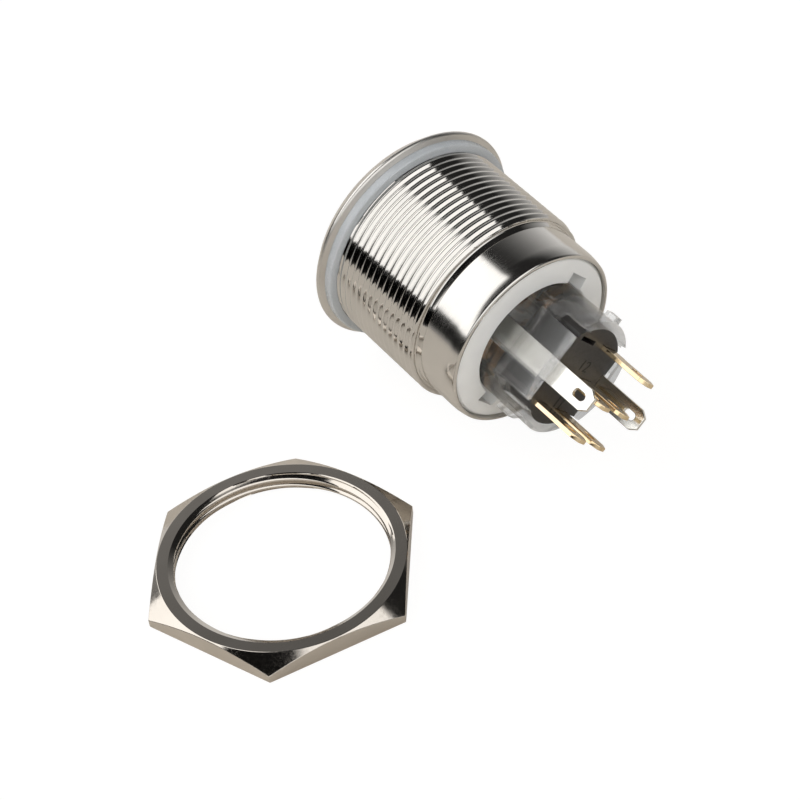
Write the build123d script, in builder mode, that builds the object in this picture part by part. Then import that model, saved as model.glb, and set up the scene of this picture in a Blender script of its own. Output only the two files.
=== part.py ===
from build123d import *
import os
from math import atan2, cos, radians, sin, tan

# Illuminated anti-vandal push button switch for a 25 mm panel hole, with its panel nut taken off.
# Millimetres. The switch lies with its axis along Y and its contacts towards +Y.
# The origin is on that axis, at the face of the gasket that meets the panel. +Z is up.

# Clearances
slide_gap = 0.05         # running clearance, radial, between a moving piece and its guide
seat_gap = 0.03          # clearance of a piece fitted by hand into its seat
blade_gap = 0.02         # clearance of a contact blade in its slot
thread_gap = 0.12        # gasket over the thread

# Barrel, turned in one piece
thread_r = 12.5          # major radius of the fine 1 mm panel thread
thread_len = 14.2        # from the gasket to the end of the last land
neck_r = 12.1            # relief between the flange and the thread, under the gasket
groove_w = 0.75          # undercut behind the thread
groove_r = 11.55
collar_r = 11.65         # plain collar at the rear
collar_len = 5.65
rim_round = 0.35         # rounding of the collar's rear rim
flange_r = 14.1
flange_t = 2.1           # flange from its front face to the gasket seat
flange_bevel = 0.9       # front bevel, along the radius
flange_bevel_depth = 1.2
flange_rim_w = 0.1       # cylindrical part of the rim
bezel_bore_r = 10.0      # front bore that holds the light ring
bezel_depth = 3.5        # thickness of the bezel's front wall
front_bore_r = 10.95     # inner bore behind the bezel
rear_bore_r = 11.0       # wider bore for the rear half
bore_step = 1.3          # the wider bore starts this far behind the thread
rim_proud = 0.25         # metal rim beyond the retaining ring's outer edge

# Gasket under the flange
gasket_t = 1.0
gasket_r = 13.4
gasket_lip = 0.25        # small edge rounding

# Button cap
cap_r = 8.5
cap_proud = 0.45         # face of the cap in front of the bezel
cap_disc_t = 1.9
cap_edge = 0.3
cap_wall = 1.5
cap_skirt_end = 3.6      # rear end of the skirt
boss_r = 4.2             # boss behind the disc that takes the plunger
boss_end = 2.0
press_travel = 2.2       # full stroke of the button

# Seal and clip on the cap
oring_r = 0.5            # half the thickness of the seal
oring_groove_depth = 0.7
oring_y = -0.4
clip_t = 0.6
clip_reach = 0.8         # from the cap's side out to the clip's edge
clip_groove_depth = 0.5
clip_gap_angle = 50

# Light ring
lens_wall_end = 2.45     # rear end of the sleeve that guides the cap
clip_room = 0.2          # round the clip, inside the light ring's skirt
lens_skirt_end = 6.0
lens_crown = 0.15        # height of the crowned front face
lens_flat = 0.5          # width of the flat on top of the crown
seal_t = 0.4             # flat seal between the bezel and the light ring

# Lamp board with its light emitting diodes
board_front = 7.0
board_t = 1.0
board_r = 10.85
board_hole_r = 4.75
led_count = 8
led_ring_r = 10.1
led_len = 1.6
led_w = 0.9
led_t = 0.65

# Plunger, spring flange and carrier of the bridging contacts
stem_r = 2.6
stem_front_clearance = 0.4
spring_flange_r = 4.4
spring_flange_t = 1.0
spring_flange_y = 4.2
carrier_front_gap = 0.15 # between the carrier and the chamber's front wall, at rest
carrier_front_wall = 1.35
carrier_rear_wall = 0.65
carrier_rear_gap = 3.3   # from the carrier's rear lip to the contact base, at rest
carrier_half_u = 1.8
carrier_half_v = 4.3
lip_slot_half = 0.6      # slot in the carrier's rear lip, for the middle blades

# Return spring, drawn at its pressed length and seated in the inner housing
wire_r = 0.25
spring_mean_r = 3.85
spring_turns = 4
spring_pocket_r = 4.6
spring_pocket_floor = 10.6

# Bridging contacts and their springs
bridge_reach = 0.55      # from the outer columns out to the bridges' ends
bridge_half_v = 1.0
bridge_t = 0.35
bridge_window_gap = 0.15
small_wire_r = 0.14
small_spring_r = 0.85
small_spring_turns = 3

# Clear inner housing
housing_front = board_front + board_t
housing_front_r = 9.0
housing_flange_t = 1.5
housing_r = 7.6
wall_front_t = 1.2       # wall between the spring pocket and the contact chamber
side_wall = 1.05         # thin curved walls beside the contact base
segment_proud = 7.7      # the two thick segments stand this far out of the barrel
side_step = 0.3          # the thin side walls end this far short of the segments
chord_v = 5.5            # flat inner face of each thick segment
segment_half_u = 4.4     # the segments end here, at the corner slots
corner_slot_w = 1.15
corner_slot_depth = 3.7
corner_slot_in_v = 3.7   # inner end of each corner slot
chamber_reach = 1.0      # from the outer columns out to the chamber's side
chamber_half_v = 4.6
chamber_corner = 1.2
lug_w = 1.4              # two lugs, one outside each side wall
lug_v = -0.5             # middle of their width
latch_lug_rise = 0.8     # the one with a ramp, near the ring
latch_lug_proud = 1.6    # from the barrel's end to the lug
latch_lug_len = 2.0
latch_ramp_len = 1.4
rear_lug_rise = 0.6      # the one near the segments' ends
rear_lug_proud = 5.6
rear_lug_len = 1.5

# White retaining ring
ring_gap = 0.1           # between the housing and the ring
ring_rise = 0.4          # the face rises this much from its outer edge to its bore
ring_edge = 0.2          # chamfer of the inner edge
notch_w = 3.0            # two spanner notches
notch_reach = 1.4        # from the ring's bore out to the notches' ends
notch_depth = 1.8
ring_outer_edge = 0.3    # chamfer of the outer edge

# Contact base and its blades
contact_turn = 139       # direction of the row of columns, from +X towards +Z
base_t = 5.6
base_recess = 0.4        # the base ends this far short of the segments
lobe_half_v = 4.45
column_inset = 2.07      # from the lobes' round sides in to the outer columns
row_pitch = 4.6
blade_w = 2.8
blade_t = 0.5
blade_proud = 6.7        # beyond the segments
blade_foot = 1.7         # inside the chamber, in front of the base
eye_w = 1.0              # oblong solder eye in each blade
eye_len = 1.7
eye_from_tip = 2.3
tip_cut = 0.75           # corners cut from the blade's tip, across
tip_cut_len = 0.9        # and along
lamp_near_u = -0.25      # the two lamp blades stand beside the segments' flat faces
lamp_far_u = 0.15
lamp_near_proud = 6.4    # beyond the segments
lamp_far_proud = 7.2
lamp_blade_foot = 0.4    # in front of the lamp board
lamp_eye_from_tip = 1.9
lamp_tip_cut = 0.6

# Panel nut, taken off and lying beside the switch
nut_thread_depth = 0.5
nut_wall = 2.0           # metal between its thread and each flat
nut_t = 2.4
nut_mouth = 0.85         # chamfer of the thread's mouths, along the radius
nut_mouth_depth = 0.5
nut_face_edge = 0.1      # the turned face ends this far inside the flats
nut_chamfer_angle = 30
nut_aside = 36.6         # centre of the nut beside the switch's axis
nut_along = 23.9         # and behind the flange's rim
nut_turn = 49.6

# Worked out once
gasket_seat = -gasket_t
flange_front = gasket_seat - flange_t
collar_start = thread_len + groove_w
barrel_end = collar_start + collar_len
ring_rear = barrel_end - rim_proud
segment_end = barrel_end + segment_proud
side_end = segment_end - side_step
base_rear = segment_end - base_recess
base_front = base_rear - base_t
blade_tip = segment_end + blade_proud
blade_front = base_front - blade_foot
lamp_blade_front = board_front - lamp_blade_foot
bezel_end = flange_front + bezel_depth
flange_start = thread_len + bore_step
ring_front = flange_start + housing_flange_t
lens_bore_r = cap_r + slide_gap
cap_front = flange_front - cap_proud
base_half_u = segment_half_u - seat_gap
base_half_v = chord_v - seat_gap
lobe_r = housing_r - side_wall - seat_gap
column_pitch = lobe_r - column_inset
chamber_half_u = column_pitch + chamber_reach
bridge_half_u = column_pitch + bridge_reach
latch_lug_r = housing_r + latch_lug_rise
rear_lug_r = housing_r + rear_lug_rise
ring_inner_r = housing_r + ring_gap
notch_r = ring_inner_r + notch_reach
clip_outer_r = cap_r + clip_reach
lens_skirt_inner_r = clip_outer_r + clip_room
wall_front = spring_pocket_floor + wall_front_t
carrier_front = wall_front + carrier_front_gap
carrier_rear = base_front - carrier_rear_gap
row_v = row_pitch / 2
lamp_v = chord_v - blade_t / 2 - seat_gap
lamp_places = ((lamp_near_u, lamp_v), (lamp_far_u, -lamp_v))
rim_back = flange_front + flange_bevel_depth + flange_rim_w
nut_bore_r = thread_r - nut_thread_depth
nut_af = 2 * (nut_bore_r + nut_wall)
nut_face_r = nut_af / 2 - nut_face_edge
rest_tilt = atan2(flange_r - collar_r, barrel_end - rim_round - rim_back)
turn = radians(contact_turn)


def contact_plane(y):
    """Plane across the axis at y, seen from the rear: local x runs along the columns."""
    return Plane(origin=(0, y, 0), x_dir=(cos(turn), 0, sin(turn)), z_dir=(0, 1, 0))


def save(piece, name):
    """Labels a finished piece and writes its file."""
    piece.part.label = name
    export_step(piece.part, f"parts/{name}.step")


os.makedirs("parts", exist_ok=True)

# Barrel: flange, thread blank, undercut and collar around a stepped bore
with BuildPart() as barrel:
    with BuildSketch(Plane.XY):
        with BuildLine():
            Polyline(
                (bezel_bore_r, flange_front),
                (flange_r - flange_bevel, flange_front),
                (flange_r, flange_front + flange_bevel_depth),
                (flange_r, flange_front + flange_bevel_depth + flange_rim_w),
                (gasket_r + gasket_lip, gasket_seat),
                (neck_r, gasket_seat),
                (neck_r, 0),
                (thread_r, 0),
                (thread_r, thread_len),
                (groove_r, thread_len),
                (groove_r, collar_start),
                (collar_r, collar_start),
                (collar_r, barrel_end),
                (rear_bore_r, barrel_end),
                (rear_bore_r, flange_start),
                (front_bore_r, flange_start),
                (front_bore_r, bezel_end),
                (bezel_bore_r, bezel_end),
                close=True,
            )
        make_face()
    revolve(axis=Axis.Y)
    rear_edges = barrel.edges().filter_by(GeomType.CIRCLE).sort_by(Axis.Y)[-2:]
    fillet(rear_edges.sort_by(SortBy.RADIUS)[-1], rim_round)
save(barrel, "barrel")

# Gasket: a flat silicone washer around the thread
with BuildPart() as flange_gasket:
    with BuildSketch(contact_plane(gasket_seat)):
        Circle(gasket_r)
        Circle(thread_r + thread_gap, mode=Mode.SUBTRACT)
    extrude(amount=gasket_t)
    outer_edges = flange_gasket.edges().filter_by(GeomType.CIRCLE).sort_by(SortBy.RADIUS)[-2:]
    chamfer(outer_edges.sort_by(Axis.Y)[-1], gasket_lip)
save(flange_gasket, "flange_gasket")

# Button cap: disc with a skirt, a boss for the plunger, and grooves for the seal and the clip
skirt_inner_r = cap_r - cap_wall
disc_back = cap_front + cap_disc_t
clip_front = lens_wall_end + slide_gap
with BuildPart() as button_cap:
    with BuildSketch(Plane.XY):
        with BuildLine():
            Polyline(
                (0, cap_front),
                (cap_r - cap_edge, cap_front),
                (cap_r, cap_front + cap_edge),
                (cap_r, cap_skirt_end),
                (skirt_inner_r, cap_skirt_end),
                (skirt_inner_r, disc_back),
                (boss_r, disc_back),
                (boss_r, boss_end),
                (stem_r + seat_gap, boss_end),
                (stem_r + seat_gap, disc_back),
                (0, disc_back),
                close=True,
            )
        make_face()
        with Locations((cap_r, oring_y)):
            Rectangle(2 * oring_groove_depth, 2 * oring_r + 2 * slide_gap, mode=Mode.SUBTRACT)
        with Locations((cap_r, clip_front + clip_t / 2)):
            Rectangle(2 * clip_groove_depth, clip_t, mode=Mode.SUBTRACT)
    revolve(axis=Axis.Y)
save(button_cap, "button_cap")

# Ring seal of the cap, squeezed between the groove and the light ring
with BuildPart() as button_seal:
    with BuildSketch(Plane.XY) as seal_section:
        seal_inner = cap_r - oring_groove_depth
        seal_outer = lens_bore_r - seat_gap
        with Locations(((seal_inner + seal_outer) / 2, oring_y)):
            Rectangle(seal_outer - seal_inner, 2 * oring_r)
        chamfer(seal_section.vertices(), 0.3 * (seal_outer - seal_inner))
    revolve(axis=Axis.Y)
save(button_seal, "button_seal")

# Clip that stops the cap against the rear of its guide sleeve
with BuildPart() as button_clip:
    with BuildSketch(contact_plane(clip_front)):
        Circle(clip_outer_r)
        Circle(cap_r - clip_groove_depth, mode=Mode.SUBTRACT)
        with BuildLine(mode=Mode.PRIVATE) as mouth:
            reach = 2 * clip_outer_r
            half = radians(clip_gap_angle / 2)
            Polyline((0, 0), (reach * cos(half), -reach * sin(half)), (reach * cos(half), reach * sin(half)), close=True)
        make_face(mouth.edges(), mode=Mode.SUBTRACT)
    extrude(amount=clip_t)
save(button_clip, "button_clip")

# Light ring: front sleeve that guides the cap, and a wider skirt that gathers light from the lamp board
with BuildPart() as light_ring:
    with BuildSketch(Plane.XY):
        sleeve_r = bezel_bore_r - seat_gap
        skirt_r = front_bore_r - slide_gap
        shoulder = bezel_end + seal_t
        with BuildLine():
            crown_r = (lens_bore_r + sleeve_r) / 2
            Polyline(
                (lens_bore_r, flange_front + lens_crown),
                (crown_r - lens_flat / 2, flange_front),
                (crown_r + lens_flat / 2, flange_front),
                (sleeve_r, flange_front + lens_crown),
                (sleeve_r, shoulder),
                (skirt_r, shoulder),
                (skirt_r, lens_skirt_end),
                (lens_skirt_inner_r, lens_skirt_end),
                (lens_skirt_inner_r, lens_wall_end),
                (lens_bore_r, lens_wall_end),
                close=True,
            )
        make_face()
    revolve(axis=Axis.Y)
save(light_ring, "light_ring")

# Flat seal between the bezel and the shoulder of the light ring
with BuildPart() as lens_seal:
    with BuildSketch(contact_plane(bezel_end)):
        Circle(front_bore_r - slide_gap)
        Circle(bezel_bore_r + slide_gap, mode=Mode.SUBTRACT)
    extrude(amount=seal_t)
save(lens_seal, "lens_seal")

# Lamp board: a ring of circuit board with slots for the two lamp blades
with BuildPart() as lamp_board:
    with BuildSketch(contact_plane(board_front)):
        Circle(board_r)
        Circle(board_hole_r, mode=Mode.SUBTRACT)
        with Locations(*lamp_places):
            Rectangle(blade_w + 2 * blade_gap, blade_t + 2 * blade_gap, mode=Mode.SUBTRACT)
    extrude(amount=board_t)
save(lamp_board, "lamp_board")

# Light emitting diodes on the board, one node of like pieces
with BuildPart() as lamp_diodes:
    with BuildSketch(contact_plane(board_front - led_t)):
        with PolarLocations(led_ring_r, led_count, start_angle=180 / led_count):
            Rectangle(led_w, led_len)
    extrude(amount=led_t)
save(lamp_diodes, "lamp_diodes")

# Plunger: stem pressed into the cap, spring flange, and a carrier with windows for the bridging contacts
bridge_rear = carrier_rear - carrier_rear_wall
bridge_front = bridge_rear - bridge_t
window_front = carrier_front + carrier_front_wall
with BuildPart() as plunger:
    with BuildSketch(contact_plane(disc_back + stem_front_clearance)):
        Circle(stem_r)
    extrude(amount=carrier_front - disc_back - stem_front_clearance)
    with BuildSketch(contact_plane(spring_flange_y)):
        Circle(spring_flange_r)
    extrude(amount=spring_flange_t)
    with BuildSketch(contact_plane(carrier_front)):
        RectangleRounded(2 * carrier_half_u, 2 * carrier_half_v, 0.5)
    extrude(amount=carrier_rear - carrier_front)
    with BuildSketch(contact_plane(window_front)):
        with Locations((0, row_v), (0, -row_v)):
            Rectangle(2 * carrier_half_u, 2 * bridge_half_v + 2 * bridge_window_gap)
    extrude(amount=bridge_rear - window_front, mode=Mode.SUBTRACT)
    with BuildSketch(contact_plane(bridge_rear)):
        with Locations((0, row_v), (0, -row_v)):
            Rectangle(2 * lip_slot_half, blade_w + 4 * bridge_window_gap)
    extrude(amount=carrier_rear - bridge_rear, mode=Mode.SUBTRACT)
save(plunger, "plunger")


def coil(mean_r, wire, turns, length, start):
    """Closed-end coil spring along Y, standing on the plane at start, as one swept solid."""
    rise = length - 2 * wire
    path = Helix(pitch=rise / turns, height=rise, radius=mean_r, center=(0, 0, 0), direction=(0, 0, 1))
    with BuildPart() as spring:
        with BuildSketch(Plane(origin=path @ 0, z_dir=path % 0)):
            RegularPolygon(wire, 6)
        sweep(path=path, is_frenet=True)
    return spring.part.moved(Location(contact_plane(start + wire)))


# Return spring in its pocket, at its pressed length
spring_len = spring_pocket_floor - (spring_flange_y + spring_flange_t + press_travel) - slide_gap
with BuildPart() as return_spring:
    add(coil(spring_mean_r, wire_r, spring_turns, spring_len, spring_pocket_floor - spring_len))
save(return_spring, "return_spring")

# Bridging contacts, one for each row of blades, each with its own spring in the carrier's window
for row, side in (("near", 1), ("far", -1)):
    with BuildPart() as bridge:
        with BuildSketch(contact_plane(bridge_front)):
            with Locations((0, side * row_v)):
                SlotOverall(2 * bridge_half_u, 2 * bridge_half_v)
        extrude(amount=bridge_t)
    save(bridge, f"contact_bridge_{row}")
    with BuildPart() as bridge_spring:
        small_len = bridge_front - window_front - 2 * seat_gap
        small = coil(small_spring_r, small_wire_r, small_spring_turns, small_len, window_front + seat_gap)
        row_shift = contact_plane(0).from_local_coords(Vector(0, side * row_v, 0))
        add(small.moved(Location(row_shift)))
    save(bridge_spring, f"contact_spring_{row}")

# Clear inner housing: spring pocket, contact chamber, flange, and the open rear around the contact base
def draw_base_outline(gap):
    """Draws the contact base's outline, larger by gap all round, into the sketch that is open."""
    Circle(lobe_r + gap)
    Rectangle(4 * lobe_r, 2 * (lobe_half_v + gap), mode=Mode.INTERSECT)
    Rectangle(2 * (base_half_u + gap), 2 * (base_half_v + gap))


across = contact_plane(0).x_dir
along = contact_plane(0).y_dir
lug_root_r = housing_r - side_wall / 2
corner_u = segment_half_u + corner_slot_w / 2
side_u = segment_half_u + corner_slot_w
with BuildPart() as inner_housing:
    with BuildSketch(Plane.XY):
        with BuildLine():
            Polyline(
                (0, housing_front),
                (housing_front_r, housing_front),
                (housing_front_r, flange_start),
                (rear_bore_r - seat_gap, flange_start),
                (rear_bore_r - seat_gap, ring_front),
                (housing_r, ring_front),
                (housing_r, segment_end),
                (0, segment_end),
                close=True,
            )
        make_face()
    revolve(axis=Axis.Y)
    with BuildSketch(Plane(origin=along * lug_v, x_dir=across, z_dir=-along)):
        latch_start = barrel_end + latch_lug_proud
        latch_end = latch_start + latch_lug_len
        Polygon(
            (-lug_root_r, latch_start),
            (-latch_lug_r, latch_start),
            (-latch_lug_r, latch_end),
            (-lug_root_r, latch_end + latch_ramp_len),
            align=None,
        )
        with Locations(((lug_root_r + rear_lug_r) / 2, barrel_end + rear_lug_proud + rear_lug_len / 2)):
            Rectangle(rear_lug_r - lug_root_r, rear_lug_len)
    extrude(amount=lug_w / 2, both=True)
    with BuildSketch(contact_plane(housing_front)):
        Circle(spring_pocket_r)
    extrude(amount=spring_pocket_floor - housing_front, mode=Mode.SUBTRACT)
    with BuildSketch(contact_plane(spring_pocket_floor)):
        Circle(stem_r + slide_gap)
    extrude(amount=wall_front_t, mode=Mode.SUBTRACT)
    with BuildSketch(contact_plane(wall_front)):
        RectangleRounded(2 * chamber_half_u, 2 * chamber_half_v, chamber_corner)
    extrude(amount=base_front - wall_front, mode=Mode.SUBTRACT)
    with BuildSketch(contact_plane(housing_front)):
        with Locations(*lamp_places):
            Rectangle(blade_w + 2 * blade_gap, blade_t + 2 * blade_gap)
    extrude(amount=base_front - housing_front, mode=Mode.SUBTRACT)
    with BuildSketch(contact_plane(base_front)):
        draw_base_outline(seat_gap)
    extrude(amount=segment_end - base_front, mode=Mode.SUBTRACT)
    with BuildSketch(contact_plane(segment_end)):
        with GridLocations(2 * corner_u, housing_r + corner_slot_in_v, 2, 2):
            Rectangle(corner_slot_w, housing_r - corner_slot_in_v)
    extrude(amount=-corner_slot_depth, mode=Mode.SUBTRACT)
    with BuildSketch(contact_plane(side_end)):
        with GridLocations(2 * side_u + housing_r, 0, 2, 1):
            Rectangle(housing_r, 3 * housing_r)
    extrude(amount=segment_end - side_end, mode=Mode.SUBTRACT)
save(inner_housing, "inner_housing")

# White retaining ring with a slightly coned face and two spanner notches
with BuildPart() as retaining_ring:
    with BuildSketch(Plane.XY):
        with BuildLine():
            Polyline(
                (ring_inner_r, ring_front),
                (rear_bore_r - seat_gap, ring_front),
                (rear_bore_r - seat_gap, ring_rear - ring_outer_edge),
                (rear_bore_r - seat_gap - ring_outer_edge, ring_rear),
                (ring_inner_r + ring_edge, ring_rear + ring_rise),
                (ring_inner_r, ring_rear + ring_rise - ring_edge),
                close=True,
            )
        make_face()
    revolve(axis=Axis.Y)
    with BuildSketch(contact_plane(ring_rear - notch_depth)):
        Rectangle(2 * notch_r, notch_w)
    extrude(amount=notch_depth + ring_rise, mode=Mode.SUBTRACT)
save(retaining_ring, "retaining_ring")

# Black contact base with slots for six blades, of which five are fitted, and rebates for the lamp blades
columns = (-column_pitch, 0, column_pitch)
empty_place = (column_pitch, row_v)
with BuildPart() as contact_base:
    with BuildSketch(contact_plane(base_front)):
        draw_base_outline(0)
    extrude(amount=base_rear - base_front)
    with BuildSketch(contact_plane(base_front)):
        with GridLocations(column_pitch, row_pitch, len(columns), 2):
            Rectangle(blade_t + 2 * blade_gap, blade_w + 2 * blade_gap)
        with Locations(*lamp_places):
            Rectangle(blade_w + 2 * blade_gap, blade_t + 2 * blade_gap)
    extrude(amount=base_rear - base_front, mode=Mode.SUBTRACT)
save(contact_base, "contact_base")


def draw_blade(front, tip, eye_back, cut):
    """Draws a flat solder blade along local y, with cut corners at its tip and an oblong eye."""
    half = blade_w / 2
    Polygon(
        (-half, front),
        (half, front),
        (half, tip - tip_cut_len),
        (half - cut, tip),
        (cut - half, tip),
        (-half, tip - tip_cut_len),
        align=None,
    )
    with Locations((0, tip - eye_back)):
        SlotOverall(eye_len, eye_w, rotation=90, mode=Mode.SUBTRACT)


# Contact blades, edge on to the columns, in every place but the empty one
places = [(u, v) for v in (-row_v, row_v) for u in columns if (u, v) != empty_place]
for number, (u, v) in enumerate(places, start=1):
    with BuildPart() as contact_blade:
        with BuildSketch(Plane(origin=across * u + along * v, x_dir=along, z_dir=across)):
            draw_blade(blade_front, blade_tip, eye_from_tip, tip_cut)
        extrude(amount=blade_t / 2, both=True)
    save(contact_blade, f"contact_blade_{number}")

# Lamp blades, flat against the inner faces of the housing's two segments
for name, (u, v), proud in (("near", lamp_places[0], lamp_near_proud), ("far", lamp_places[1], lamp_far_proud)):
    with BuildPart() as lamp_blade:
        with BuildSketch(Plane(origin=across * u + along * v, x_dir=-across, z_dir=along)):
            draw_blade(lamp_blade_front, segment_end + proud, lamp_eye_from_tip, lamp_tip_cut)
        extrude(amount=blade_t / 2, both=True)
    save(lamp_blade, f"lamp_blade_{name}")

# Panel nut: a thin hexagon with one turned face. It lies flat on the plane that the switch rests on,
# which touches the flange's rim and the collar's rear rim and so leans a little from level.
rest_plane = Plane(origin=(0, rim_back, -flange_r), x_dir=(1, 0, 0), z_dir=(0, -sin(rest_tilt), cos(rest_tilt)))
nut_centre = rest_plane.from_local_coords(Vector(nut_aside, nut_along, 0))
nut_plane = Plane(origin=nut_centre, x_dir=(1, 0, 0), z_dir=rest_plane.z_dir)
nut_section = Plane(origin=nut_centre, x_dir=(1, 0, 0), z_dir=-rest_plane.y_dir)
nut_axis = Axis(nut_centre, rest_plane.z_dir)
cone_r = nut_af
cone_drop = (cone_r - nut_face_r) * tan(radians(nut_chamfer_angle))
with BuildPart() as hex_nut:
    with BuildSketch(nut_plane):
        RegularPolygon(nut_af / 2, 6, major_radius=False, rotation=nut_turn)
    extrude(amount=nut_t)
    with BuildSketch(nut_section):
        with BuildLine():
            Polyline(
                (0, -cone_drop),
                (cone_r, -cone_drop),
                (cone_r, nut_t - cone_drop),
                (nut_face_r, nut_t),
                (0, nut_t),
                close=True,
            )
        make_face()
    revolve(axis=nut_axis, mode=Mode.INTERSECT)
    with BuildSketch(nut_section):
        with BuildLine():
            Polyline(
                (0, 0),
                (nut_bore_r + nut_mouth, 0),
                (nut_bore_r, nut_mouth_depth),
                (nut_bore_r, nut_t - nut_mouth_depth),
                (nut_bore_r + nut_mouth, nut_t),
                (0, nut_t),
                close=True,
            )
        make_face()
    revolve(axis=nut_axis, mode=Mode.SUBTRACT)
save(hex_nut, "hex_nut")
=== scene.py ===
"""Dresses the panel push button switch and its loose nut, in metres, in the frame of the CAD."""

import logging
from collections.abc import Callable, Sequence
from dataclasses import dataclass, field
from enum import Enum
from math import atan2, ceil, cos, degrees, radians, sin, tan, tau

import bmesh
import bpy
from mathutils import Matrix, Vector


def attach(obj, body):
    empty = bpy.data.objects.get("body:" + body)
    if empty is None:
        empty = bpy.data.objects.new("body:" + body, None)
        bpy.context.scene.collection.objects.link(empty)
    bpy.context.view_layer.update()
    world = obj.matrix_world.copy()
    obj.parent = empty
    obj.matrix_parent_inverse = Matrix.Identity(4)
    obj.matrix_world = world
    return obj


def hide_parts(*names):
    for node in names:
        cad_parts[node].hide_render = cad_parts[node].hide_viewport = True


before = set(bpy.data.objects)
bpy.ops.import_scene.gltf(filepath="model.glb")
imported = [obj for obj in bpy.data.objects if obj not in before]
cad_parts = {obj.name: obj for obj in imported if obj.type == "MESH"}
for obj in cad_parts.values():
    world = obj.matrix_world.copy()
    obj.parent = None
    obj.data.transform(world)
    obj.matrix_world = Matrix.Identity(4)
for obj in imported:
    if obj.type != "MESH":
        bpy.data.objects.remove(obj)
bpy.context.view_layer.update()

LOG = logging.getLogger("switch")
MM = 0.001
CONTACT_TURN = 139.0

Ring = Callable[[float], tuple[float, float]]


class Body(str, Enum):
    """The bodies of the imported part."""

    SWITCH = "switch"
    BUTTON = "button"


class Side(Enum):
    """Which way a thread's crests point."""

    OUTWARD = 1
    INWARD = -1


class Grain(Enum):
    """How the marks of a surface run, as stretch factors of a noise pattern along X, Y and Z."""

    TURNED = (0.35, 9.0, 0.35)
    EVEN = (3.0, 3.0, 3.0)
    ROLLED = (1.2, 0.5, 1.2)


# Node helpers


class Formula:
    """Math nodes written as calls, in one node tree."""

    def __init__(self, tree: bpy.types.NodeTree) -> None:
        """Starts on a tree.

        Args:
            tree: The tree that gets the nodes.
        """
        self.tree = tree

    def do(self, kind: str, *terms: object) -> bpy.types.NodeSocket:
        """Adds one Math node.

        Args:
            kind: The operation.
            *terms: Sockets or numbers.

        Returns:
            The node's value.
        """
        node = self.tree.nodes.new("ShaderNodeMath")
        node.operation = kind
        for index, term in enumerate(terms):
            if isinstance(term, bpy.types.NodeSocket):
                self.tree.links.new(term, node.inputs[index])
            else:
                node.inputs[index].default_value = term
        return node.outputs["Value"]

    def step(self, value: object, low: float, high: float) -> bpy.types.NodeSocket:
        """A smooth step from 0 at low to 1 at high, or down where high is below low."""
        node = self.tree.nodes.new("ShaderNodeMapRange")
        node.interpolation_type = "SMOOTHSTEP"
        node.inputs["From Min"].default_value = min(low, high)
        node.inputs["From Max"].default_value = max(low, high)
        node.inputs["To Min"].default_value = 0.0 if high > low else 1.0
        node.inputs["To Max"].default_value = 1.0 if high > low else 0.0
        self.tree.links.new(value, node.inputs["Value"])
        return node.outputs["Result"]

    def window(self, value: object, low: float, high: float, soft: float) -> bpy.types.NodeSocket:
        """1 between low and high, with soft edges."""
        start = self.step(value, low - soft, low + soft)
        end = self.step(value, high + soft, high - soft)
        return self.do("MULTIPLY", start, end)


# Finishes


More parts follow.
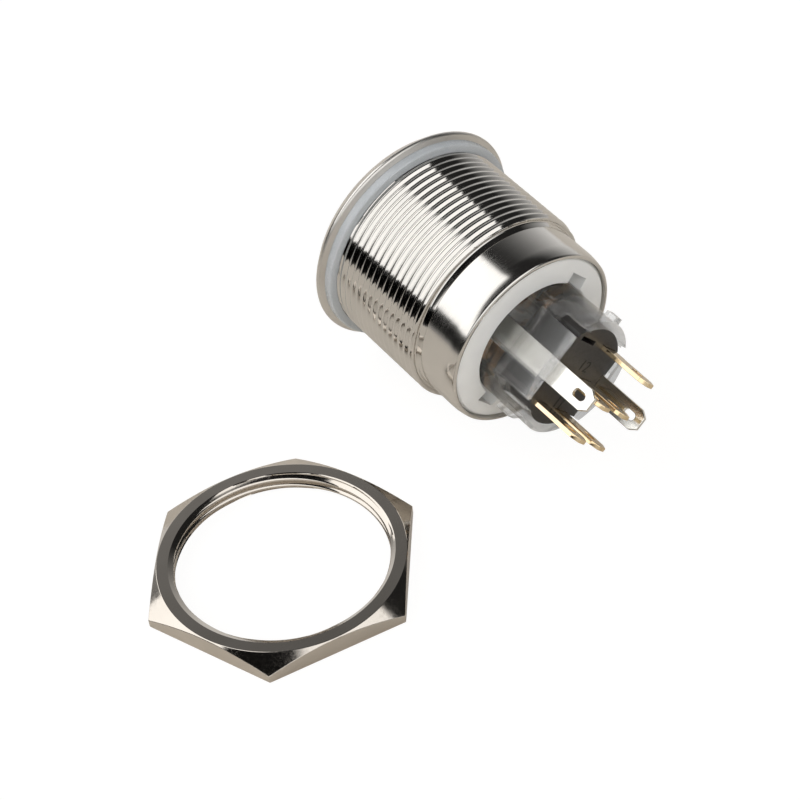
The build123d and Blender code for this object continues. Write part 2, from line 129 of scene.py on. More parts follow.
class Surface:
    """Builds one procedural material around a Principled shader."""

    middle = (0.3, 0.7)
    blend = 0.1

    def __init__(self, name: str) -> None:
        """Starts a material with that name.

        Args:
            name: The material's name.
        """
        self.material = bpy.data.materials.new(name)
        self.material.use_nodes = True
        self.tree = self.material.node_tree
        self.shader = self.tree.nodes["Principled BSDF"]

    def set(self, **values: object) -> None:
        """Sets sockets of the shader, named with underscores for spaces.

        Args:
            **values: Socket names and their values.
        """
        for name, value in values.items():
            self.shader.inputs[name.replace("_", " ")].default_value = value

    def noise(
        self, grain: tuple[float, float, float], detail: float = 4.0, shift: float = 0.0
    ) -> bpy.types.NodeSocket:
        """Adds a noise pattern on Object coordinates.

        Args:
            grain: Cycles per millimetre along X, Y and Z.
            detail: Levels of finer noise.
            shift: Moves the pattern, so that two patterns differ.

        Returns:
            The pattern's value, about 0 to 1.
        """
        nodes, links = self.tree.nodes, self.tree.links
        place = nodes.new("ShaderNodeTexCoord")
        stretch = nodes.new("ShaderNodeMapping")
        stretch.inputs["Scale"].default_value = [g / MM for g in grain]
        stretch.inputs["Location"].default_value = (shift, shift, shift)
        pattern = nodes.new("ShaderNodeTexNoise")
        pattern.inputs["Scale"].default_value = 1.0
        pattern.inputs["Detail"].default_value = detail
        links.new(place.outputs["Object"], stretch.inputs["Vector"])
        links.new(stretch.outputs["Vector"], pattern.inputs["Vector"])
        return pattern.outputs["Fac"]

    def spread(self, pattern: bpy.types.NodeSocket, low: float, high: float) -> bpy.types.NodeSocket:
        """Maps a pattern's middle range to a range of values.

        Args:
            pattern: The pattern.
            low: Value at the pattern's low side.
            high: Value at its high side.

        Returns:
            The mapped value.
        """
        ramp = self.tree.nodes.new("ShaderNodeMapRange")
        ramp.inputs["From Min"].default_value = self.middle[0]
        ramp.inputs["From Max"].default_value = self.middle[1]
        ramp.inputs["To Min"].default_value = low
        ramp.inputs["To Max"].default_value = high
        self.tree.links.new(pattern, ramp.inputs["Value"])
        return ramp.outputs["Result"]

    def beyond(self, value: bpy.types.NodeSocket, height: float, extra: float) -> bpy.types.NodeSocket:
        """Adds to a value on the part of the surface that lies beyond a height along Y.

        Args:
            value: The value.
            height: Where the change starts, in millimetres.
            extra: What is added there.

        Returns:
            The changed value.
        """
        nodes, links = self.tree.nodes, self.tree.links
        place = nodes.new("ShaderNodeTexCoord")
        split = nodes.new("ShaderNodeSeparateXYZ")
        ramp = nodes.new("ShaderNodeMapRange")
        ramp.inputs["From Min"].default_value = height * MM
        ramp.inputs["From Max"].default_value = (height + self.blend) * MM
        ramp.inputs["To Max"].default_value = extra
        links.new(place.outputs["Object"], split.inputs["Vector"])
        links.new(split.outputs["Y"], ramp.inputs["Value"])
        return Formula(self.tree).do("ADD", value, ramp.outputs["Result"])

    def tint(self, pattern: bpy.types.NodeSocket, dark: Sequence[float], light: Sequence[float]) -> None:
        """Varies the base colour between two colours.

        Args:
            pattern: The pattern that mixes them.
            dark: Colour at its low side.
            light: Colour at its high side.
        """
        mix = self.tree.nodes.new("ShaderNodeMix")
        mix.data_type = "RGBA"
        colour_sockets = [s for s in mix.inputs if s.type == "RGBA"]
        colour_sockets[0].default_value = (*dark, 1.0)
        colour_sockets[1].default_value = (*light, 1.0)
        self.tree.links.new(self.spread(pattern, 0.0, 1.0), mix.inputs["Factor"])
        result = next(s for s in mix.outputs if s.type == "RGBA")
        self.tree.links.new(result, self.shader.inputs["Base Color"])

    def polish(self, pattern: bpy.types.NodeSocket, low: float, high: float) -> None:
        """Varies the roughness between two values."""
        self.tree.links.new(self.spread(pattern, low, high), self.shader.inputs["Roughness"])

    def emboss(self, pattern: bpy.types.NodeSocket, height: float, strength: float = 1.0) -> None:
        """Raises the surface by a pattern.

        Args:
            pattern: The pattern.
            height: Its height in millimetres.
            strength: Share of the height that shows.
        """
        bump = self.tree.nodes.new("ShaderNodeBump")
        bump.inputs["Distance"].default_value = height * MM
        bump.inputs["Strength"].default_value = strength
        self.tree.links.new(pattern, bump.inputs["Height"])
        self.tree.links.new(bump.outputs["Normal"], self.shader.inputs["Normal"])


@dataclass(frozen=True)
class PlatedMetal:
    """A plated or bare metal with tooling marks."""

    name: str
    colour: tuple[float, float, float]
    shade: tuple[float, float, float]
    rough: tuple[float, float]
    grain: Grain = Grain.TURNED
    relief: float = 0.0015
    satin: tuple[tuple[float, float], ...] = ()

    def build(self) -> bpy.types.Material:
        """Makes the material. Each pair of satin is a height and how much duller it is from there on."""
        surface = Surface(self.name)
        surface.set(Metallic=1.0)
        marks = surface.noise(self.grain.value, 5.0)
        clouds = surface.noise((0.25, 0.25, 0.25), 3.0, 4.0)
        surface.tint(clouds, self.shade, self.colour)
        rough = surface.spread(marks, *self.rough)
        for height, extra in self.satin:
            rough = surface.beyond(rough, height, extra)
        surface.tree.links.new(rough, surface.shader.inputs["Roughness"])
        surface.emboss(marks, self.relief, 0.6)
        return surface.material


@dataclass(frozen=True)
class MouldedPlastic:
    """An opaque or milky plastic with a fine moulded skin."""

    name: str
    colour: tuple[float, float, float]
    shade: tuple[float, float, float]
    rough: tuple[float, float]
    scatter: float = 0.0
    relief: float = 0.004

    def build(self) -> bpy.types.Material:
        """Makes the material."""
        surface = Surface(self.name)
        skin = surface.noise((5.0, 5.0, 5.0), 3.0)
        clouds = surface.noise((0.4, 0.4, 0.4), 3.0, 2.0)
        surface.tint(clouds, self.shade, self.colour)
        surface.polish(skin, *self.rough)
        surface.emboss(skin, self.relief, 0.5)
        if self.scatter:
            surface.set(Subsurface_Weight=self.scatter, Subsurface_Scale=0.6 * MM)
            surface.set(Subsurface_Radius=(1.0, 0.95, 0.9))
        return surface.material


@dataclass(frozen=True)
class ClearPlastic:
    """A clear or cloudy plastic that light passes through."""

    name: str
    colour: tuple[float, float, float]
    shade: tuple[float, float, float]
    rough: tuple[float, float]
    bend: float = 1.52
    passing: float = 1.0
    cover: float = 1.0

    def build(self) -> bpy.types.Material:
        """Makes the material."""
        surface = Surface(self.name)
        surface.set(Transmission_Weight=self.passing, IOR=self.bend, Alpha=self.cover)
        flow = surface.noise((0.5, 0.25, 0.5), 2.0)
        surface.tint(flow, self.shade, self.colour)
        surface.polish(flow, *self.rough)
        surface.emboss(flow, 0.004, 0.4)
        return surface.material


FLANGE_SATIN = ((-1.62, 0.26), (-0.95, -0.26))
COLLAR_SATIN = ((14.9, 0.07),)
NICKEL = PlatedMetal(
    "nickel_barrel", (0.66, 0.635, 0.60), (0.62, 0.60, 0.565), (0.05, 0.12), satin=FLANGE_SATIN + COLLAR_SATIN
)
NUT_NICKEL = PlatedMetal("nickel_nut", (0.60, 0.555, 0.50), (0.56, 0.515, 0.46), (0.06, 0.13), Grain.EVEN)
CAP_METAL = PlatedMetal("brushed_cap", (0.72, 0.71, 0.69), (0.66, 0.65, 0.63), (0.16, 0.28))
GOLD = PlatedMetal("gold_plate", (0.93, 0.75, 0.49), (0.82, 0.62, 0.36), (0.08, 0.18), Grain.ROLLED, 0.001)
TIN = PlatedMetal("tin_plate", (0.84, 0.83, 0.79), (0.76, 0.74, 0.69), (0.10, 0.22), Grain.ROLLED, 0.001)
BRONZE = PlatedMetal("contact_bronze", (0.80, 0.52, 0.30), (0.72, 0.45, 0.25), (0.15, 0.28), Grain.ROLLED)
SPRING = PlatedMetal("spring_steel", (0.58, 0.57, 0.56), (0.50, 0.49, 0.48), (0.18, 0.30), Grain.EVEN)
RING_WHITE = MouldedPlastic("white_plastic", (0.90, 0.90, 0.88), (0.87, 0.87, 0.85), (0.32, 0.45), 0.15)
BASE_BLACK = MouldedPlastic("black_plastic", (0.024, 0.021, 0.019), (0.017, 0.015, 0.013), (0.32, 0.48))
MILKY = MouldedPlastic("milky_plastic", (0.86, 0.87, 0.86), (0.80, 0.81, 0.80), (0.25, 0.38), 0.4)
RUBBER = MouldedPlastic("seal_rubber", (0.030, 0.028, 0.027), (0.018, 0.017, 0.016), (0.55, 0.75), 0.0, 0.01)
BOARD = MouldedPlastic("board", (0.80, 0.82, 0.78), (0.70, 0.73, 0.69), (0.35, 0.5))
DIODE = MouldedPlastic("diode", (0.90, 0.80, 0.42), (0.84, 0.72, 0.34), (0.2, 0.35), 0.2)
MARK = MouldedPlastic("mark_ink", (0.004, 0.004, 0.004), (0.002, 0.002, 0.002), (0.5, 0.65))
CLEAR = ClearPlastic(
    "clear_plastic", (0.99, 0.99, 0.985), (0.97, 0.975, 0.965), (0.01, 0.03), 1.585, 0.97, 0.52
)
SILICONE = MouldedPlastic("silicone", (0.60, 0.62, 0.64), (0.54, 0.57, 0.59), (0.20, 0.30), 0.3)


# Mesh helpers


def along_row(u: float, v: float, y: float) -> Vector:
    """Point of the contact pattern: u along the columns, v across them, y along the axis, in millimetres."""
    turn = radians(CONTACT_TURN)
    return Vector((u * cos(turn) + v * sin(turn), y, u * sin(turn) - v * cos(turn)))


def finished(
    name: str, mesh: bpy.types.Mesh, finish: bpy.types.Material, body: Body
) -> bpy.types.Object:
    """Makes an object of a mesh that is already in place, and ties it to its body and slot.

    Args:
        name: The piece's name.
        mesh: Its mesh, in metres.
        finish: Its material.
        body: The body it rides on.

    Returns:
        The new object.
    """
    mesh.name = name
    mesh.materials.clear()
    mesh.materials.append(finish)
    piece = bpy.data.objects.new(name, mesh)
    bpy.context.scene.collection.objects.link(piece)
    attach(piece, body.value)
    LOG.info("%s: %d faces on %s", name, len(mesh.polygons), body.value)
    return piece


def shade(mesh: bpy.types.Mesh, angle: float) -> None:
    """Shades a mesh smooth, with edges sharper than an angle in degrees kept crisp."""
    mesh.shade_smooth()
    mesh.set_sharp_from_angle(angle=radians(angle))


def evaluated(carrier: bpy.types.Object) -> bpy.types.Mesh:
    """Turns an object with modifiers into a plain mesh and removes the object.

    Args:
        carrier: The object that holds the modifiers.

    Returns:
        The plain mesh.
    """
    bpy.context.view_layer.update()
    result = bpy.data.meshes.new_from_object(carrier.evaluated_get(bpy.context.evaluated_depsgraph_get()))
    carrier.modifiers.clear()
    bpy.data.objects.remove(carrier)
    return result


MERGE_SPAN = 0.0005
FLAT_ANGLE = 0.4
CORNER_ANGLE = 28
CRISP_ANGLE = 20


def dressed_copy(
    node: str, name: str, finish: bpy.types.Material, body: Body, edge: float, steps: int = 2
) -> bpy.types.Object:
    """Stands a copy of a CAD node in its place, merged, with its edges rounded and its normals clean.

    Args:
        node: The CAD node.
        name: The new piece's name.
        finish: Its material.
        body: The body it rides on.
        edge: Width of the rounded edges, in millimetres.
        steps: Segments of each rounded edge.

    Returns:
        The new object.
    """
    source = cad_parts[node]
    work = bmesh.new()
    work.from_mesh(source.data)
    work.transform(source.matrix_world)
    bmesh.ops.remove_doubles(work, verts=work.verts, dist=MERGE_SPAN * MM)
    bmesh.ops.dissolve_limit(work, angle_limit=radians(FLAT_ANGLE), verts=work.verts, edges=work.edges)
    mesh = bpy.data.meshes.new(name)
    work.to_mesh(mesh)
    work.free()
    carrier = bpy.data.objects.new(name, mesh)
    bpy.context.scene.collection.objects.link(carrier)
    rounding = carrier.modifiers.new("edges", "BEVEL")
    rounding.width = edge * MM
    rounding.segments = steps
    rounding.limit_method = "ANGLE"
    rounding.angle_limit = radians(CORNER_ANGLE)
    rounding.miter_outer = "MITER_ARC"
    rounded = evaluated(carrier)
    shade(rounded, CRISP_ANGLE)
    piece = finished(name, rounded, finish, body)
    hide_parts(node)
    return piece


# Thread

Profile = tuple[tuple[float, float], ...]
TURNED: Profile = (
    (0.0, 0.217),
    (0.04, 0.117),
    (0.09, 0.051),
    (0.15, 0.013),
    (0.21, 0.0),
    (0.24, 0.008),
    (0.275, 0.038),
    (0.31, 0.084),
    (0.34, 0.141),
    (0.41, 0.297),
    (0.49, 0.484),
    (0.57, 0.678),
    (0.64, 0.861),
    (0.67, 0.92),
    (0.705, 0.966),
    (0.74, 0.994),
    (0.77, 1.0),
    (0.81, 0.983),
    (0.845, 0.926),
    (0.9225, 0.572),
    (1.0, 0.217),
)
TAPPED: Profile = (
    (0.0, 0.06),
    (0.0625, 0.0),
    (0.125, 0.0),
    (0.1875, 0.0),
    (0.25, 0.0),
    (0.3125, 0.08),
    (0.375, 0.3),
    (0.4375, 0.52),
    (0.5, 0.74),
    (0.5625, 0.95),
    (0.625, 1.0),
    (0.6875, 1.0),
    (0.75, 0.95),
    (0.8125, 0.73),
    (0.875, 0.5),
    (0.9375, 0.28),
    (1.0, 0.06),
)


@dataclass
class ThreadForm:
    """A turned 1 mm thread as a closed skin between two end rings, made by a Geometry Nodes tree.

    Lengths are in millimetres. The axis is Y, and the skin runs from y 0 to the thread's length. The
    profile gives, for evenly spaced rows, the place along one pitch and the share of the depth there.
    """

    crest: float
    depth: float
    length: float
    end_radius: float
    end_slope: float
    side: Side
    columns: int
    pitch: float = 1.0
    phase: float = 0.0
    profile: Profile = TAPPED
    nudge: float = 0.0001
    weld: float = 0.002
    measures: tuple[str, ...] = (
        "Pitch", "Turns", "Crest Radius", "Depth", "Length", "End Radius", "End Slope", "Side", "Start",
    )
    counts: tuple[str, ...] = ("Columns", "Rows")

    @staticmethod
    def table(
        tree: bpy.types.NodeTree, share: bpy.types.NodeSocket, values: Sequence[float]
    ) -> bpy.types.NodeSocket:
        """Adds a curve that runs straight from value to value.

        Args:
            tree: The tree that gets the curve.
            share: The row's share of its turn, 0 to 1.
            values: Values at evenly spaced shares.

        Returns:
            The value at the share.
        """
        curve = tree.nodes.new("ShaderNodeFloatCurve")
        line = curve.mapping.curves[0]
        last = len(values) - 1
        line.points[0].location = (0.0, values[0])
        line.points[1].location = (1.0, values[last])
        for index in range(1, last):
            line.points.new(index / last, values[index])
        for point in line.points:
            point.handle_type = "VECTOR"
        curve.mapping.update()
        tree.links.new(share, curve.inputs["Value"])
        return curve.outputs["Value"]

    def tree(self, finish: bpy.types.Material) -> bpy.types.NodeTree:
        """Builds the node tree that bends a flat grid into the threaded skin.

        Args:
            finish: The material that the tree sets.

        Returns:
            The tree.
        """
        group = bpy.data.node_groups.new("helical_thread", "GeometryNodeTree")
        face = group.interface
        for name in self.measures:
            face.new_socket(name=name, in_out="INPUT", socket_type="NodeSocketFloat")
        for name in self.counts:
            face.new_socket(name=name, in_out="INPUT", socket_type="NodeSocketInt")
        face.new_socket(name="Geometry", in_out="OUTPUT", socket_type="NodeSocketGeometry")
        nodes, links = group.nodes, group.links
        given = nodes.new("NodeGroupInput").outputs
        f = Formula(group)
        grid = nodes.new("GeometryNodeMeshGrid")
        grid.inputs["Size X"].default_value = 1.0
        grid.inputs["Size Y"].default_value = 1.0
        links.new(given["Columns"], grid.inputs["Vertices X"])
        links.new(given["Rows"], grid.inputs["Vertices Y"])
        flat = nodes.new("GeometryNodeInputPosition")
        split = nodes.new("ShaderNodeSeparateXYZ")
        links.new(flat.outputs["Position"], split.inputs["Vector"])
        around = f.do("ADD", split.outputs["X"], 0.5)
        rise = f.do("ADD", split.outputs["Y"], 0.5)
        moved = f.do("ADD", f.do("MULTIPLY", rise, given["Turns"]), self.nudge)
        share = f.do("FRACT", moved)
        climbed = f.do("ADD", f.do("FLOOR", moved), self.table(group, share, [w for w, _ in self.profile]))
        climb = f.do("MULTIPLY", climbed, given["Pitch"])
        share_cut = self.table(group, share, [h for _, h in self.profile])
        raw = f.do("SUBTRACT", f.do("ADD", climb, given["Start"]), f.do("MULTIPLY", around, given["Pitch"]))
        height = f.do("MINIMUM", f.do("MAXIMUM", raw, 0.0), given["Length"])
        cut = f.do("MULTIPLY", f.do("MULTIPLY", share_cut, given["Depth"]), given["Side"])
        wall = f.do("MULTIPLY", f.do("SUBTRACT", given["Crest Radius"], cut), given["Side"])
        inset = f.do("MINIMUM", height, f.do("SUBTRACT", given["Length"], height))
        edge = f.do("MULTIPLY", given["End Radius"], given["Side"])
        mouth = f.do("ADD", edge, f.do("MULTIPLY", inset, given["End Slope"]))
        radius = f.do("MULTIPLY", f.do("MINIMUM", wall, mouth), given["Side"])
        angle = f.do("MULTIPLY", around, tau)
        join = nodes.new("ShaderNodeCombineXYZ")
        links.new(f.do("MULTIPLY", radius, f.do("COSINE", angle)), join.inputs["X"])
        links.new(height, join.inputs["Y"])
        links.new(f.do("MULTIPLY", radius, f.do("SINE", angle)), join.inputs["Z"])
        place = nodes.new("GeometryNodeSetPosition")
        links.new(grid.outputs["Mesh"], place.inputs["Geometry"])
        links.new(join.outputs["Vector"], place.inputs["Position"])
        weld = nodes.new("GeometryNodeMergeByDistance")
        weld.inputs["Distance"].default_value = self.weld * MM
        links.new(place.outputs["Geometry"], weld.inputs["Geometry"])
        real = nodes.new("GeometryNodeRealizeInstances")
        links.new(weld.outputs["Geometry"], real.inputs["Geometry"])
        coat = nodes.new("GeometryNodeSetMaterial")
        coat.inputs["Material"].default_value = finish
        links.new(real.outputs["Geometry"], coat.inputs["Geometry"])
        result = nodes.new("NodeGroupOutput")
        links.new(coat.outputs["Geometry"], result.inputs["Geometry"])
        return group

    def skin(self, finish: bpy.types.Material) -> bpy.types.Mesh:
        """Runs the tree with this thread's sizes.

        Args:
            finish: The material that the tree sets.

        Returns:
            The threaded skin, in metres, open at both ends.
        """
        carrier = bpy.data.objects.new("thread_form", bpy.data.meshes.new("thread_form"))
        bpy.context.scene.collection.objects.link(carrier)
        maker = carrier.modifiers.new("thread", "NODES")
        maker.node_group = self.tree(finish)
        turns = ceil(self.length / self.pitch) + 2
        values = {
            "Pitch": self.pitch * MM,
            "Turns": float(turns),
            "Crest Radius": self.crest * MM,
            "Depth": self.depth * MM,
            "Length": self.length * MM,
            "End Radius": self.end_radius * MM,
            "End Slope": self.end_slope,
            "Side": float(self.side.value),
            "Start": self.phase * MM,
            "Columns": self.columns + 1,
            "Rows": turns * (len(self.profile) - 1) + 1,
        }
        for item in maker.node_group.interface.items_tree:
            if item.item_type == "SOCKET" and item.in_out == "INPUT":
                maker[item.identifier] = values[item.name]
        return evaluated(carrier)

    def closed(self, finish: bpy.types.Material, stations: Sequence[Ring]) -> bmesh.types.BMesh:
        """Closes the skin into a solid by rings that run from its end back to its start.

        Args:
            finish: The material that the tree sets.
            stations: Rings in order, each a function from the angle to radius and height in millimetres.

        Returns:
            The solid, in metres, about the Y axis.
        """
        mesh = self.skin(finish)
        work = bmesh.new()
        work.from_mesh(mesh)
        bpy.data.meshes.remove(mesh)
        rim = {v for e in work.edges if e.is_boundary for v in e.verts}
        middle = self.length * MM / 2
        loops = []
        for upper in (True, False):
            loop = [v for v in rim if (v.co.y > middle) is upper]
            loops.append(sorted(loop, key=lambda v: atan2(v.co.z, v.co.x)))
        angles = [atan2(v.co.z, v.co.x) for v in loops[0]]
        rings = [loops[0]]
        for station in stations:
            ring = []
            for angle in angles:
                radius, height = station(angle)
                ring.append(work.verts.new((radius * cos(angle) * MM, height * MM, radius * sin(angle) * MM)))
            rings.append(ring)
        rings.append(loops[1])
        count = len(angles)
        if any(len(ring) != count for ring in rings):
            raise ValueError(f"thread rings differ: {[len(ring) for ring in rings]}")
        for lower, upper in zip(rings, rings[1:]):
            for i in range(count):
                j = (i + 1) % count
                work.faces.new((lower[i], lower[j], upper[j], upper[i]))
        bmesh.ops.recalc_face_normals(work, faces=work.faces)
        return work


def level(radius: float, height: float) -> Ring:
    """A plain circular ring."""
    return lambda angle: (radius, height)


def arc(centre: tuple[float, float], size: float, start: float, end: float, steps: int) -> list[Ring]:
    """Rings along a rounded corner.

    Args:
        centre: Radius and height of the arc's centre, in millimetres.
        size: The arc's radius.
        start: Angle in degrees, from outward towards +Y.
        end: Last angle.
        steps: Number of spans.

    Returns:
        The rings in order.
    """
    spots = [radians(start + (end - start) * i / steps) for i in range(steps + 1)]
    return [level(centre[0] + size * cos(a), centre[1] + size * sin(a)) for a in spots]


# Sub-assemblies


@dataclass
class Barrel:
    """The turned barrel: flange, panel thread, undercut and collar round a stepped bore."""

    thread_r: float = 12.5
    thread_depth: float = 0.248
    thread_len: float = 14.2
    thread_start: float = -0.33
    run_out: float = 6.0
    neck_r: float = 12.1
    groove_r: float = 11.55
    groove_round: float = 0.22
    groove_slope: float = 22.5
    collar_start: float = 14.95
    collar_r: float = 11.65
    crown_start: float = 18.7
    crown_drop: float = 0.17
    end: float = 20.6
    rim_round: float = 0.35
    flange_r: float = 14.1
    flange_front: float = -3.1
    bevel_r: float = 12.8
    rim_size: float = 0.4
    rim_y: float = -1.602
    rim_span: tuple[float, float] = (-44.2, 62.0)
    seat: float = -1.0
    seat_r: float = 13.42
    bores: tuple[float, float, float] = (10.0, 10.95, 11.0)
    bore_steps: tuple[float, float] = (0.4, 15.5)
    columns: int = 208
    quick_columns: int = 96
    crisp: float = 58.0

    def stations(self) -> list[Ring]:
        """Rings from the thread's end round the rear, the bore and the flange to the neck."""
        groove_y = self.collar_start
        fillet = self.groove_round
        slope = self.groove_slope
        foot = self.groove_r + (groove_y - self.thread_len - fillet) * tan(radians(slope))
        rings = [level(foot + fillet + 0.04, self.thread_len)]
        rings += arc((foot + fillet, self.thread_len + fillet * 0.92), fillet, -90, slope - 180, 7)[:-1]
        rings += [level(foot, self.thread_len + fillet), level(self.groove_r + 0.01, groove_y - 0.03)]
        rings += [level(self.groove_r, groove_y)]
        rings += [level(self.collar_r - 0.05, groove_y), level(self.collar_r, groove_y + 0.04)]
        rings += [level(self.collar_r, groove_y + 0.08)]
        last = self.end - self.rim_round
        for i in range(8):
            share = i / 7
            y = self.crown_start + (last - self.crown_start) * share
            rings.append(level(self.collar_r - self.crown_drop * share * share, y))
        tilt = degrees(atan2(2 * self.crown_drop, last - self.crown_start))
        edge_r = self.collar_r - self.crown_drop - self.rim_round
        rings += arc((edge_r + 0.006, last - 0.01), self.rim_round, tilt, 90, 6)[1:]
        near, middle, wide = self.bores
        front_step, rear_step = self.bore_steps
        rings += [level(wide + 0.05, self.end), level(wide, self.end - 0.05), level(wide, self.end - 0.1)]
        rings += [level(wide, rear_step + 0.02), level(wide - 0.02, rear_step), level(middle + 0.02, rear_step)]
        rings += [level(middle, rear_step - 0.02), level(middle, front_step + 0.02), level(middle, front_step)]
        rings += [level(near + 0.03, front_step), level(near, front_step - 0.03)]
        rings += [level(near, self.flange_front + 0.08), level(near + 0.08, self.flange_front)]
        rings += [level(self.bevel_r - 0.1, self.flange_front), level(self.bevel_r - 0.04, self.flange_front)]
        rings += [level(self.bevel_r + 0.03, self.flange_front + 0.027)]
        rings += [level(self.bevel_r + 0.09, self.flange_front + 0.08)]
        rings += arc((self.flange_r - self.rim_size, self.rim_y), self.rim_size, *self.rim_span, 10)
        rings += [level(self.seat_r + 0.08, self.seat - 0.065), level(self.seat_r + 0.03, self.seat - 0.024)]
        rings += [level(self.seat_r - 0.02, self.seat)]
        rings += [level(self.neck_r + 0.05, self.seat), level(self.neck_r, self.seat + 0.05)]
        rings += [level(self.neck_r, self.seat + 0.1), level(self.neck_r, -0.05)]
        return rings

    def build(self, finish: bpy.types.Material) -> bpy.types.Object:
        """Builds the barrel in place of its CAD node.

        Args:
            finish: The plated metal.

        Returns:
            The piece.
        """
        form = ThreadForm(
            self.thread_r,
            self.thread_depth,
            self.thread_len,
            self.neck_r,
            self.run_out,
            Side.OUTWARD,
            self.columns,
            phase=self.thread_start,
            profile=TURNED,
        )
        work = form.closed(finish, self.stations())
        mesh = bpy.data.meshes.new("barrel_turned")
        work.to_mesh(mesh)
        work.free()
        shade(mesh, self.crisp)
        piece = finished("barrel_turned", mesh, finish, Body.SWITCH)
        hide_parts("barrel")
        return piece


@dataclass
class PanelNut:
    """The thin hexagon nut with one turned face, lying on the plane that the switch rests on."""

    half_flat: float = 14.0
    face_r: float = 13.9
    height: float = 2.4
    bore_r: float = 12.0
    major_r: float = 12.5
    mouth_r: float = 12.62
    mouth_depth: float = 0.3
    cone_angle: float = 30.0
    corner: float = 49.6
    centre: tuple[float, float, float] = (36.6, 21.954, -11.461)
    rest_slope: float = radians(6.3385)
    columns: int = 480
    crisp_outside: float = 8.0
    crisp_inside: float = 28.0

    def outline(self, angle: float) -> float:
        """Radius of the hexagon at an angle about the nut's own axis."""
        step = radians(60)
        off = (-angle - radians(self.corner)) % step - step / 2
        return self.half_flat / cos(off)

    def cone(self, angle: float) -> float:
        """Height at which the turned cone meets the hexagon's side at an angle."""
        return self.height - max(0.0, self.outline(angle) - self.face_r) * tan(radians(self.cone_angle))

    def stations(self) -> list[Ring]:
        """Rings from the top mouth over the turned face, down the sides and back to the bottom mouth."""
        return [
            level(self.mouth_r + 0.03, self.height),
            level(self.face_r - 0.03, self.height),
            level(self.face_r + 0.02, self.height - 0.012),
            lambda a: (max(self.face_r + 0.03, self.outline(a) - 0.03), self.cone(a) + 0.012),
            lambda a: (self.outline(a), self.cone(a) - 0.03),
            lambda a: (self.outline(a), 0.08),
            lambda a: (self.outline(a) - 0.08, 0.0),
            level(self.mouth_r + 0.03, 0.0),
        ]

    def placing(self) -> Matrix:
        """The matrix that stands the nut, built about Y at the origin, on the rest plane."""
        lean = self.rest_slope
        up = Vector((0.0, -sin(lean), cos(lean)))
        back = Vector((0.0, -cos(lean), -sin(lean)))
        turn = Matrix((Vector((1.0, 0.0, 0.0)), up, back)).transposed().to_4x4()
        return Matrix.Translation(Vector(self.centre) * MM) @ turn

    def build(self, finish: bpy.types.Material) -> bpy.types.Object:
        """Builds the nut in place of its CAD node.

        Args:
            finish: The plated metal.

        Returns:
            The piece.
        """
        slope = (self.mouth_r - self.bore_r) / self.mouth_depth
        form = ThreadForm(
            self.bore_r,
            self.major_r - self.bore_r,
            self.height,
            self.mouth_r,
            slope,
            Side.INWARD,
            self.columns // (1),
        )
        work = form.closed(finish, self.stations())
        inner = (self.major_r + 0.1) * MM
        for edge in work.edges:
            if len(edge.link_faces) != 2:
                continue
            bend = edge.calc_face_angle(0.0)
            outside = min(v.co.xz.length for v in edge.verts) > inner
            edge.smooth = bend < radians(self.crisp_outside if outside else self.crisp_inside)
        for face in work.faces:
            face.smooth = True
        work.transform(self.placing())
        mesh = bpy.data.meshes.new("panel_nut")
        work.to_mesh(mesh)
        work.free()
        piece = finished("panel_nut", mesh, finish, Body.SWITCH)
        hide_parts("hex_nut")
        return piece


@dataclass
class FlangeGasket:
    """The silicone washer under the flange, with softly rounded edges."""

    inner_r: float = 12.3
    outer_r: float = 13.4
    front: float = -1.0
    rear: float = 0.0
    soft: float = 0.22
    columns: int = 160
    crisp: float = 40.0

    def build(self, finish: bpy.types.Material) -> bpy.types.Object:
        """Builds the gasket in place of its CAD node."""
        s = self.soft
        section = [(self.inner_r, self.front), (self.outer_r, self.front)]
        for i in range(6):
            a = radians(90 * i / 5)
            section.append((self.outer_r - s + s * cos(a), self.rear - s + s * sin(a)))
        section.append((self.inner_r, self.rear))
        mesh = revolved("gasket_ring", section, self.columns)
        shade(mesh, self.crisp)
        piece = finished("gasket_ring", mesh, finish, Body.SWITCH)
        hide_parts("flange_gasket")
        return piece


def revolved(name: str, section: Sequence[tuple[float, float]], columns: int) -> bpy.types.Mesh:
    """Turns a closed section about the Y axis.

    Args:
        name: The mesh's name.
        section: Corners of the section as radius and height, in millimetres.
        columns: Number of spans round the axis.

    Returns:
        The mesh, in metres.
    """
    work = bmesh.new()
    rings = []
    for i in range(columns):
        a = tau * i / columns
        rings.append([work.verts.new((r * cos(a) * MM, y * MM, r * sin(a) * MM)) for r, y in section])
    count = len(section)
    for i in range(columns):
        one, two = rings[i], rings[(i + 1) % columns]
        for j in range(count):
            k = (j + 1) % count
            work.faces.new((one[j], one[k], two[k], two[j]))
    bmesh.ops.recalc_face_normals(work, faces=work.faces)
    mesh = bpy.data.meshes.new(name)
    work.to_mesh(mesh)
    work.free()
    return mesh


